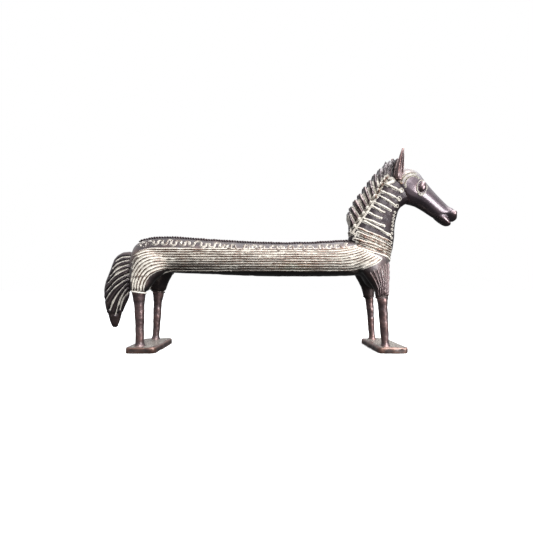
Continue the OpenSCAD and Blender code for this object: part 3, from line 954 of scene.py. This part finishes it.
# %% Eye, lid and brow of one side
lid_wide = 4.1
lid_high = 5.3
eye_lean = 0.12


def eyeball(side, sign):
    nothing_selected()
    place = on_head(6.6, 4.6, sign * 7.6)
    bpy.ops.mesh.primitive_uv_sphere_add(segments=40, ring_count=24, radius=1, location=place)
    eye = bpy.context.object
    edit(eye)
    bpy.ops.transform.resize(value=(3.1 * mm, 2.4 * mm, 4.3 * mm), center_override=place)
    object_mode()
    bpy.ops.object.transform_apply(location=True, rotation=True, scale=True)
    eye.name = f"eyeball_{side}"
    co = points_of(eye)
    co[:, 0] += (co[:, 2] - place.z) * eye_lean
    put_points(eye, co)
    return eye


def eyelid(side, sign):
    centre = on_head(6.4, 3.8, sign * 8)
    outer = []
    for a in np.linspace(0, 2 * math.pi, 48, endpoint=False):
        point = 1 + 0.24 * max(0, -math.sin(a)) ** 3
        outer.append(centre + Vector((lid_wide * math.cos(a) + 0.7 * math.sin(a), 0,
                                      lid_high * math.sin(a) * point)) * mm)
    inner = [centre + (p - centre) * 0.8 for p in outer]
    lines = [drop_on(outer, head_tree, sign, lift=0.15 * mm), drop_on(inner, head_tree, sign, lift=0.3 * mm)]
    return thread_piece(f"eyelid_{side}", lines, 0.42 * mm, wobble=0.15, closed=True)


temple = skull + Vector((0.6, 0, 1.4)) * mm


def brow_cord(side, sign):
    lines = []
    for radius, start, stop in [(6.4, 200, 48), (9.0, 172, 74)]:
        arc = [temple + Vector((math.cos(a), 0, math.sin(a))) * radius * mm
               for a in np.radians(np.linspace(start, stop, 30))]
        lines.append(drop_on(arc, head_tree, sign, lift=0.2 * mm))
    return thread_piece(f"brow_cord_{side}", lines, 0.42 * mm, wobble=0.35)


eyes = {}
lids = {}
brows = {}
for side, sign in SIDES.items():
    eyes[side] = eyeball(side, sign)
    lids[side] = eyelid(side, sign)
    brows[side] = brow_cord(side, sign)
print("eyeball:", len(eyes["right"].data.polygons), "faces, lid:", len(lids["right"].data.polygons))

# %% [markdown]
# A ring runs round the nose, where the bulb was added to the face. A carved groove would fill with
# clay and look like a cut, so it is a thin thread, sunk half-way into the skin.

# %% Ring of the nose
nose_line = [on_head(35.4 + 1.2 * math.cos(a), 3.4 + 6 * math.cos(a), 8 * math.sin(a))
             for a in np.linspace(-1.9, 1.9, 40)]
nose_line = snap_to(nose_line, head_tree, lift=0.02 * mm)
nose_ring = thread_piece("nose_cord", [nose_line], 0.42 * mm, wobble=0.2)
print("nose ring:", len(nose_ring.data.polygons), "faces")

# %% [markdown]
# An ear is a pinched leaf that is hollow towards the side. The hollow could be a boolean, but a
# thumb makes a soft one: the points that face outwards sink most in the middle of the leaf and
# not at all at its rim.

# %% Ears
ears = {}
bowl_depth = 1.8 * mm
for side, sign in SIDES.items():
    ear = melt(join([copy_of(f"ear_{side}")], f"ear_shell_{side}"), voxel=0.3 * mm, rounds=4, swell=0.12 * mm)
    low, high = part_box(f"ear_{side}")
    co = points_of(ear)
    facing = points_of(ear, "normal")[:, 1] * sign
    up = (co[:, 2] - low.z) / (high.z - low.z)
    off = (co[:, 0] - between(low.x + 3 * mm, high.x - 1.6 * mm, up)) / between(2.6 * mm, 1.2 * mm, up)
    bowl = np.clip(1 - off * off, 0, 1) ** 1.5 * np.sin(math.pi * np.clip(up, 0, 1)) ** 0.6
    co[:, 1] -= sign * bowl_depth * bowl * soft_step(0, 0.3, facing)
    put_points(ear, co)
    ears[side] = uneven(ear, size=3 * mm, amount=0.3 * mm)
print("ears:", len(ears["right"].data.vertices), "points each")

# %% [markdown]
# ## Where the clay stays and where hands rub
# Numbers are stored on every point: clay, for the pale mould clay that nobody could brush out,
# and wear, for the high places that hands polish. They could be painted by hand, but measured
# they follow each thread exactly. Beside a thread the clay clings to the skin, so a skin's clay
# depends on how far the nearest thread is. On a thread it sits low, near the skin. Anything else
# is compared with a smoothed copy of itself: below that lie grooves, above it ridges.

# %% Ways to measure
def store(piece, name, values):
    attribute = piece.data.attributes.get(name) or piece.data.attributes.new(name, "FLOAT", "POINT")
    attribute.data.foreach_set("value", np.asarray(values, np.float32))


def relief(piece, rounds):
    """How far each point lies above its smoothed surroundings, in mm."""
    co = points_of(piece)
    ends = np.empty(len(piece.data.edges) * 2, np.int64)
    piece.data.edges.foreach_get("vertices", ends)
    a, b = ends.reshape(-1, 2).T
    count = np.bincount(a, minlength=len(co)) + np.bincount(b, minlength=len(co))
    calm = co.copy()
    for _ in range(rounds):
        total = np.stack([np.bincount(a, calm[b, j], len(co)) + np.bincount(b, calm[a, j], len(co))
                          for j in range(3)], axis=1)
        calm = 0.5 * calm + 0.5 * total / np.maximum(count, 1)[:, None]
    return np.sum((co - calm) * points_of(piece, "normal"), axis=1) / mm


def beside_threads(piece, names, reach):
    """1 beside the named threads, and 0 further from them than the reach."""
    points = [p for name in names for line in laid_lines[name] for p in line]
    tree = kdtree.KDTree(len(points))
    for k, p in enumerate(points):
        tree.insert(p, k)
    tree.balance()
    far = np.array([tree.find(v.co)[2] for v in piece.data.vertices])
    return 1 - soft_step(0.6 * reach, reach, far)


def both_sides(name):
    return [f"{name}_{side}" for side in SIDES]


def patches(co, per_metre):
    """Cloudy patches of about -1 to 1."""
    return np.array([noise.noise(Vector(p) * per_metre) for p in co])


def streaks(co, seed):
    """Long flecks that run along the flank, about -1 to 1."""
    return np.array([noise.noise(Vector((x * 55, y * 150 + seed, z * 330))) for x, y, z in co]) * 2


print("threads that clay can cling to:", sum(len(lines) for lines in laid_lines.values()))

# %% [markdown]
# On the body the clay is thickest between the flank threads. It also lies speckled over the
# croup and smeared on the breast, and hands have rubbed it off the rump. Faces that turn down
# are darkened with painted shade, and the low flank is stained with rust and verdigris. One noise
# over the whole body would be quicker, but it would ignore these places, so each gets a value of
# its own and the largest wins.

# %% Body clay
co = points_of(body)
flank_clay = beside_threads(body, both_sides("flank_cords"), 1.7 * mm)
flank_clay *= np.clip(1.1 + 0.5 * streaks(co, 0), 0, 1.3)
scroll_clay = beside_threads(body, both_sides("scroll_cord"), 1.3 * mm)
flute_clay = beside_threads(body, both_sides("breeches_flutes"), 1.5 * mm)
seam_clay = beside_threads(body, ["collar_cord", *both_sides("wrap_cords")], 1.2 * mm)
croup = blob(co, (hind_x - 1 * mm, 0, belly + 24 * mm), (10 * mm, 40 * mm, 5 * mm))
croup *= np.clip(0.5 + 1.2 * patches(co, 850), 0, 1)
breast = blob(co, (fore_x + 8 * mm, 0, belly + 2 * mm), (5 * mm, 14 * mm, 14 * mm))
rump_sides = [blob(co, (rump_x, sign * 19 * mm, belly + 15 * mm), (5 * mm, 9 * mm, 8 * mm))
              for sign in SIDES.values()]
rump = np.maximum(*rump_sides)
clay = np.maximum.reduce([flank_clay, 0.7 * scroll_clay, 0.45 * flute_clay, 0.6 * seam_clay,
                          0.9 * croup, 0.45 * breast])
low_flank = 1 - soft_step(belly + 5 * mm, belly + 15 * mm, co[:, 2])
store(body, "clay", clay * (1 - 0.85 * rump))
# painted shade: the more a face turns down, the darker it is painted, a shadow painted under the belly
store(body, "painted_underside_shade", soft_step(0.15, 0.65, -points_of(body, "normal")[:, 2]))
store(body, "wear", np.clip(rump + 0.25 * soft_step(0.02, 0.12, relief(body, 20)), 0, 1))
store(body, "stain", np.exp(-((co[:, 0] / mm - 12) / 26) ** 2) * low_flank)
print("clay covers", round(100 * float(clay.mean())), "% of the body skin")

# %% [markdown]
# On the neck the clay fills the space between the wraps, lines each bar, and thickens in patches
# towards the head. On the head it stays beside the brows, lids and nose ring, and the skull above
# them is dull with it.

# %% Neck and head clay
co = points_of(neck)
patchy = patches(co, 260)
upper = soft_step(withers.z + 20 * mm, withers.z + 34 * mm, co[:, 2])
wrap_clay = beside_threads(neck, [*both_sides("wrap_cords"), "collar_cord"], 1.7 * mm)
bar_clay = beside_threads(neck, both_sides("bar_cords"), 1.4 * mm) * (0.85 + 0.8 * patchy)
band_clay = beside_threads(neck, both_sides("bar_cords"), 2.1 * mm) * upper * (0.5 + 0.8 * patchy)
chain_clay = beside_threads(neck, both_sides("loop_cords"), 0.7 * mm)
rope_clay = beside_threads(neck, both_sides("rope_cord"), 1.5 * mm)
high_clay = blob(co, withers + Vector((28.5, 0, 40)) * mm, (9 * mm, 30 * mm, 8 * mm)) * (0.8 + 0.9 * patchy)
store(neck, "clay", np.maximum.reduce([wrap_clay, bar_clay, band_clay, 0.7 * chain_clay, rope_clay,
                                       0.85 * high_clay]))
store(neck, "wear", 0.3 * soft_step(0.0, 0.1, relief(neck, 12)))

co = points_of(head)
brow_clay = beside_threads(head, both_sides("brow_cord"), 1.4 * mm)
lid_clay = beside_threads(head, both_sides("eyelid"), 1.0 * mm)
nose_clay = beside_threads(head, ["nose_cord"], 0.8 * mm)
from_temple = np.hypot(co[:, 0] - temple.x, co[:, 2] - temple.z) / mm
crown = soft_step(5.8, 6.8, from_temple) * soft_step(-0.5 * mm, 3 * mm, co[:, 2] - skull.z)
crown *= 1 - soft_step(5 * mm, 9 * mm, co[:, 0] - skull.x)
store(head, "clay", np.maximum.reduce([0.6 * brow_clay, 0.45 * crown, 0.5 * lid_clay, 0.35 * nose_clay]))
store(head, "stain", crown)
store(head, "wear", soft_step(0.05, 0.35, relief(head, 30)))
print("dull crown:", round(100 * float(crown.mean())), "% of the head skin")

# %% [markdown]
# In the mane and the tail the clay fills the cuts, less of it near the head, where the cuts are
# open. Legs and ears only keep it in their dents, and the plates on top, where feet and fingers
# don't reach.

# %% Mane, tail, leg, ear and plate clay
for piece, far, wide in [(mane, mane_far, 0.85), (tail, tail_far, 0.8)]:
    co = points_of(piece)
    grain = patches(co, 260)
    wide = wide * np.clip(0.75 + 0.9 * patches(co, 110), 0.15, 1.2)
    hold = 1 - 0.55 * soft_step(skull.z - 8 * mm, skull.z + 12 * mm, co[:, 2])
    cut_clay = hold * (1 - soft_step(0.5, 1, (far / mm - 0.35 * grain) / wide))
    foot_clay = beside_threads(piece, both_sides("rope_cord"), 1.5 * mm)
    store(piece, "clay", np.maximum(cut_clay, foot_clay))
    store(piece, "wear", soft_step(1.2, 2.4, far / mm))
for piece in [*legs.values(), *ears.values()]:
    height = relief(piece, 24)
    store(piece, "clay", 0.3 * (1 - soft_step(-0.25, -0.05, height)))
    store(piece, "wear", soft_step(0.0, 0.25, height))
for plate in plates.values():
    height = relief(plate, 30)
    top = soft_step(2.6 * mm, 3.4 * mm, points_of(plate)[:, 2])
    store(plate, "clay", 0.52 * top * (1 - soft_step(0.1, 0.35, height)))
    store(plate, "wear", soft_step(0.12, 0.4, height))
print("furthest any point lies from a deep cut of the tail:", round(float(tail_far.max()) / mm, 1), "mm")

# %% [markdown]
# A thread carries clay up to some height above the skin. Distance along the thread says nothing
# about that, so each point's height above the skin is measured. Each group of threads has its own
# amount and the two heights between which the clay ends. On the flanks, that height wanders in
# long streaks, and the clay climbs higher at both ends.

# %% Thread clay
every_skin = tree_of(body, neck, head, mane)


def above_skin(piece):
    """How far each point of a thread stands above the skin, in mm."""
    return np.array([every_skin.find_nearest(v.co)[3] for v in piece.data.vertices]) / mm


for piece in flanks.values():
    lift = above_skin(piece)
    co = points_of(piece)
    rear = 1 - soft_step(hind_x + 14 * mm, hind_x + 26 * mm, co[:, 0])
    ahead = soft_step(fore_x - 40 * mm, fore_x - 22 * mm, co[:, 0])
    climb = 0.12 + 0.06 * rear + 0.12 * ahead + 0.16 * streaks(co, 5)
    store(piece, "clay", 1 - soft_step(0.25, 0.6, lift - climb))
    store(piece, "wear", soft_step(0.5, 1.0, lift))
for group, amount, low, high in [
        (scrolls, 0.65, 0.5, 1.1), (wraps, 0.95, 0.45, 0.95), (bars, 0.7, 1.2, 2.2), (ropes, 0.66, 0.9, 1.9),
        (chains, 0.66, 0.9, 2.0), (flutes, 0.55, 0.15, 0.5), (brows, 0.8, 0.3, 0.8), (lids, 0.25, 0.2, 0.6),
        ({"top": spine}, 0.25, 0.2, 0.8), ({"front": nose_ring}, 0.3, 0.1, 0.4)]:
    for piece in group.values():
        lift = above_skin(piece)
        store(piece, "clay", amount * (1 - soft_step(low, high, lift)))
        store(piece, "wear", soft_step(0.6, 1.1, lift))
print("flank threads stand up to", round(float(above_skin(flanks["right"]).max()), 1), "mm above the skin")

# %% [markdown]
# The rings and the collar are clay-covered or bare all round, and the lids are pale on their
# outer thread only. The eyeballs are the most handled spot of all.

# %% Ring, lid and eye clay
for piece, amount in [(garters["right"], 0.9), (garters["left"], 0.35), (collar, 0.7),
                      (knees["right"], 0), (knees["left"], 0)]:
    count = len(piece.data.vertices)
    store(piece, "clay", np.full(count, amount))
    store(piece, "wear", np.zeros(count))
for piece in lids.values():
    off = (points_of(piece) - np.array(on_head(6.4, 3.8))) / mm
    store(piece, "clay", 0.72 * soft_step(0.86, 0.95, np.hypot(off[:, 0] / lid_wide, off[:, 2] / lid_high)))
for piece in eyes.values():
    store(piece, "clay", np.zeros(len(piece.data.vertices)))
    store(piece, "wear", np.ones(len(piece.data.vertices)))
print("pieces with no clay at all:", len(knees) + len(eyes))

# %% [markdown]
# ## Finishes
# A finish on bronze is metal, polish, pits and dirt mixed by many small sums. They could be wired
# node by node, but they read best as ordinary Python, so a small class wraps a socket and turns
# +, - and * into Math nodes. Every other node comes from one method.

# %% Node helpers
class Wire:
    """A node's output that works in an ordinary expression."""

    def __init__(self, finish, socket):
        self.finish = finish
        self.socket = socket

    def maths(self, operation, first, second):
        return self.finish.node("Math", {"operation": operation}, {0: first, 1: second})

    def __add__(self, other):
        return self.maths("ADD", self, other)

    def __sub__(self, other):
        return self.maths("SUBTRACT", self, other)

    def __mul__(self, other):
        return self.maths("MULTIPLY", self, other)

    def __rsub__(self, other):
        return self.maths("SUBTRACT", other, self)

    __radd__ = __add__
    __rmul__ = __mul__


class Finish:
    """A material under construction."""

    def __init__(self, name):
        self.material = bpy.data.materials.new(name)
        self.material.use_nodes = True
        self.tree = self.material.node_tree
        self.shader = self.tree.nodes["Principled BSDF"]
        self.place = self.node("TexCoord", out="Object")

    def node(self, kind, settings=None, sockets=None, out=0):
        made = self.tree.nodes.new("ShaderNode" + kind)
        for key, value in (settings or {}).items():
            setattr(made, key, value)
        for key, value in (sockets or {}).items():
            self.feed(made.inputs[key], value)
        return Wire(self, made.outputs[out])

    def feed(self, socket, value):
        if isinstance(value, Wire):
            self.tree.links.new(value.socket, socket)
        else:
            socket.default_value = value

    def mottle(self, size, detail=4.0):
        """Cloudy variation from 0 to 1, in patches of about this size."""
        return self.node("TexNoise", sockets={"Vector": self.place, "Scale": 1 / size, "Detail": detail})

    def stored(self, name):
        return self.node("Attribute", {"attribute_name": name}, out="Fac")

    def step(self, value, low, high):
        """0 below low, 1 above high, and smooth between."""
        return self.node("MapRange", {"interpolation_type": "SMOOTHSTEP"},
                         {"Value": value, "From Min": low, "From Max": high})

    def blend(self, first, second, share):
        return self.node("Mix", {"data_type": "RGBA"}, {0: share, 6: first, 7: second}, out=2)

    def done(self, colour, roughness, metallic, height, depth):
        self.feed(self.shader.inputs["Base Color"], colour)
        self.feed(self.shader.inputs["Roughness"], roughness)
        self.feed(self.shader.inputs["Metallic"], metallic)
        bump = self.node("Bump", sockets={"Height": height, "Strength": 0.6, "Distance": depth}, out="Normal")
        self.feed(self.shader.inputs["Normal"], bump)
        return self.material


print("node helpers:", Wire.__name__, "and", Finish.__name__)

# %% [markdown]
# ### Bronze with mould clay
# Old cast bronze is nearly black-purple where it is untouched, red-brown where hands reach, and
# finely pitted all over. The clay is matt and chalky, cream to grey with a few rust and verdigris
# stains. Bronze and clay could be two materials, but their border is ragged, so one shader goes
# from metal to chalk by the stored clay plus fine noise. A thin coat gives the metal the gloss
# of old wax polish.

# %% The bronze family
CHALK = (0.74, 0.70, 0.63, 1)
DUST = (0.42, 0.39, 0.34, 1)
RUST = (0.42, 0.22, 0.10, 1)
VERDIGRIS = (0.36, 0.44, 0.35, 1)
# colour of the painted shade on faces that turn down
UNDERSIDE_SHADE_COLOUR = (0.012, 0.010, 0.009, 1)
metal_share = 0.92
chalk_rough = 0.9


def bronze(name, dark, warm, polish, hold=1.0, dusty=0.35, stain=0.0, mottled=0.35, pitted=0.25,
           gloss=0.85):
    """dark and warm are the metal's two colours and polish its roughness. hold says how thickly the
    clay holds, dusty and stain how grey and how stained it is, mottled how patchy the metal is,
    pitted its pits in mm, and gloss its coat."""
    f = Finish(name)
    fine = f.mottle(1.1 * mm, 5.0)
    broad = f.mottle(9 * mm, 3.0)
    pits = f.mottle(0.35 * mm, 2.0)
    clay = f.stored("clay")
    wear = f.stored("wear")
    warmth = f.step(broad * 0.9 + fine * mottled + wear * 0.55, 0.35 + mottled * 0.5, 1.15 + mottled * 0.5)
    metal = f.blend((*dark, 1), (*warm, 1), warmth)
    chalk = f.blend(CHALK, DUST, f.step(fine + broad * dusty, 0.5, 0.95))
    if stain:
        stained = f.stored("stain") * stain
        chalk = f.blend(chalk, RUST, f.step(stained + fine - 0.5, 0.3, 0.95))
        chalk = f.blend(chalk, VERDIGRIS, f.step(stained + broad - 0.7, 0.3, 0.9))
    cover = f.step(clay * hold + fine * 0.5 + pits * 0.25 - 0.375, 0.42, 0.66)
    # the colour is darkened towards the painted shade stored on faces that turn down
    colour = f.blend(f.blend(metal, chalk, cover), UNDERSIDE_SHADE_COLOUR, f.stored("painted_underside_shade") * 0.65)
    metal_rough = polish + broad * 0.12 + pits * 0.14 - wear * 0.08
    roughness = metal_rough + (chalk_rough - metal_rough) * cover
    metallic = metal_share - cover * metal_share
    height = fine * 0.45 + pits * 0.3 + cover * 0.5
    f.feed(f.shader.inputs["Coat Weight"], gloss - cover * 0.95 * gloss)
    f.shader.inputs["Coat Roughness"].default_value = 0.24
    return f.done(colour, roughness, metallic, height, pitted * mm)


dark_bronze = bronze("dark_bronze", (0.062, 0.049, 0.052), (0.15, 0.092, 0.080), polish=0.36, stain=0.9)
neck_bronze = bronze("neck_bronze", (0.032, 0.025, 0.029), (0.085, 0.058, 0.058), polish=0.42, gloss=0.3)
thread_bronze = bronze("thread_bronze", (0.065, 0.043, 0.036), (0.19, 0.104, 0.072), polish=0.38, hold=0.9)
head_bronze = bronze("head_bronze", (0.090, 0.070, 0.084), (0.17, 0.115, 0.12), polish=0.27, dusty=1.2,
                     stain=0.9, mottled=0.15, pitted=0.06)
hair_bronze = bronze("hair_bronze", (0.052, 0.040, 0.045), (0.12, 0.083, 0.08), polish=0.34)
leg_bronze = bronze("leg_bronze", (0.13, 0.092, 0.095), (0.31, 0.18, 0.165), polish=0.33, mottled=0.2,
                    pitted=0.12)
plate_bronze = bronze("plate_bronze", (0.075, 0.058, 0.055), (0.21, 0.118, 0.092), polish=0.42, dusty=0.9)
chalked_thread = bronze("chalked_thread", (0.08, 0.06, 0.055), (0.2, 0.12, 0.09), polish=0.45, hold=1.1,
                        dusty=0.0)
print("dark bronze is made of", len(dark_bronze.node_tree.nodes), "nodes")

# %% [markdown]
# ### Fired clay and paper
# The core is clay that was fired hard when the bronze was poured, brown with darker patches. It is
# hidden, but it gets its own finish. The floor is matt white paper that glows a little, which
# keeps the ground pale without a lamp below.

# %% Fired clay and paper
def fired_clay():
    f = Finish("fired_clay")
    grain = f.mottle(0.8 * mm, 6.0)
    scorched = f.step(grain * 0.6 + f.mottle(7 * mm) * 0.6, 0.4, 0.8)
    colour = f.blend((0.30, 0.16, 0.09, 1), (0.12, 0.07, 0.05, 1), scorched)
    return f.done(colour, 0.85 + grain * 0.1, 0.0, grain, 0.3 * mm)


def pale_paper():
    f = Finish("pale_paper")
    fibres = f.mottle(3 * mm, 3.0)
    f.shader.inputs["Specular IOR Level"].default_value = 0
    f.shader.inputs["Emission Color"].default_value = (1, 1, 1, 1)
    f.shader.inputs["Emission Strength"].default_value = 0.1
    colour = f.blend((0.96, 0.96, 0.96, 1), (0.93, 0.93, 0.93, 1), fibres)
    return f.done(colour, 0.9 + fibres * 0.05, 0.0, fibres, 0.02 * mm)


core = packed["clay_core"]
core.data.materials.clear()
core.data.materials.append(fired_clay())
floor.data.materials.append(pale_paper())
print("core finish:", core.data.materials[0].name, "- floor finish:", floor.data.materials[0].name)

# %% [markdown]
# ## Put it together
# Every piece rides on the one body of the statuette and hides the imported parts that it stands
# for. Each could be set where it is made, but in one place it is easy to see that no imported part
# was forgotten.

# %% Finish, ride and replace
settled = []


def settle(piece, finish, slot, *nodes):
    piece.data.materials.clear()
    piece.data.materials.append(finish)
    only(piece)
    bpy.ops.object.shade_smooth()
    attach(piece, "root")
    if nodes:
        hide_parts(*nodes)
    settled.append(piece.name)


settle(body, dark_bronze, "bronze", "barrel", *body_nodes)
settle(neck, neck_bronze, "bronze", "neck")
settle(head, head_bronze, "bronze", "head", "lower_jaw", "nostrils")
settle(mane, hair_bronze, "bronze", "mane_crest", "mane_locks_right", "mane_locks_left")
settle(tail, hair_bronze, "bronze", "tail", "tail_tip", "tail_locks_right", "tail_locks_left")
settle(spine, neck_bronze, "thread_bronze", "back_braid")
settle(collar, chalked_thread, "thread_bronze", "collar")
settle(nose_ring, head_bronze, "bronze")
for node, leg in legs.items():
    settle(leg, leg_bronze, "worn_bronze", node)
for end, plate in plates.items():
    settle(plate, plate_bronze, "worn_bronze", f"{end}_plate")
for side in SIDES:
    settle(flanks[side], thread_bronze, "thread_bronze", f"flank_threads_{side}")
    settle(scrolls[side], thread_bronze, "thread_bronze", f"back_scroll_{side}")
    settle(flutes[side], leg_bronze, "worn_bronze")
    settle(wraps[side], thread_bronze, "thread_bronze", f"neck_wraps_{side}")
    settle(bars[side], thread_bronze, "thread_bronze")
    settle(ropes[side], thread_bronze, "thread_bronze", f"mane_rope_{side}")
    settle(chains[side], thread_bronze, "thread_bronze", f"throat_loops_{side}")
    settle(garters[side], chalked_thread, "thread_bronze", f"garter_{side}")
    settle(knees[side], leg_bronze, "worn_bronze", f"knee_ring_{side}")
    settle(eyes[side], head_bronze, "bronze", f"eye_{side}")
    settle(lids[side], head_bronze, "bronze", f"eye_rim_{side}")
    settle(ears[side], leg_bronze, "worn_bronze", f"ear_{side}")
    settle(brows[side], thread_bronze, "thread_bronze", "brow_band")
print("settled:", len(settled), "pieces")
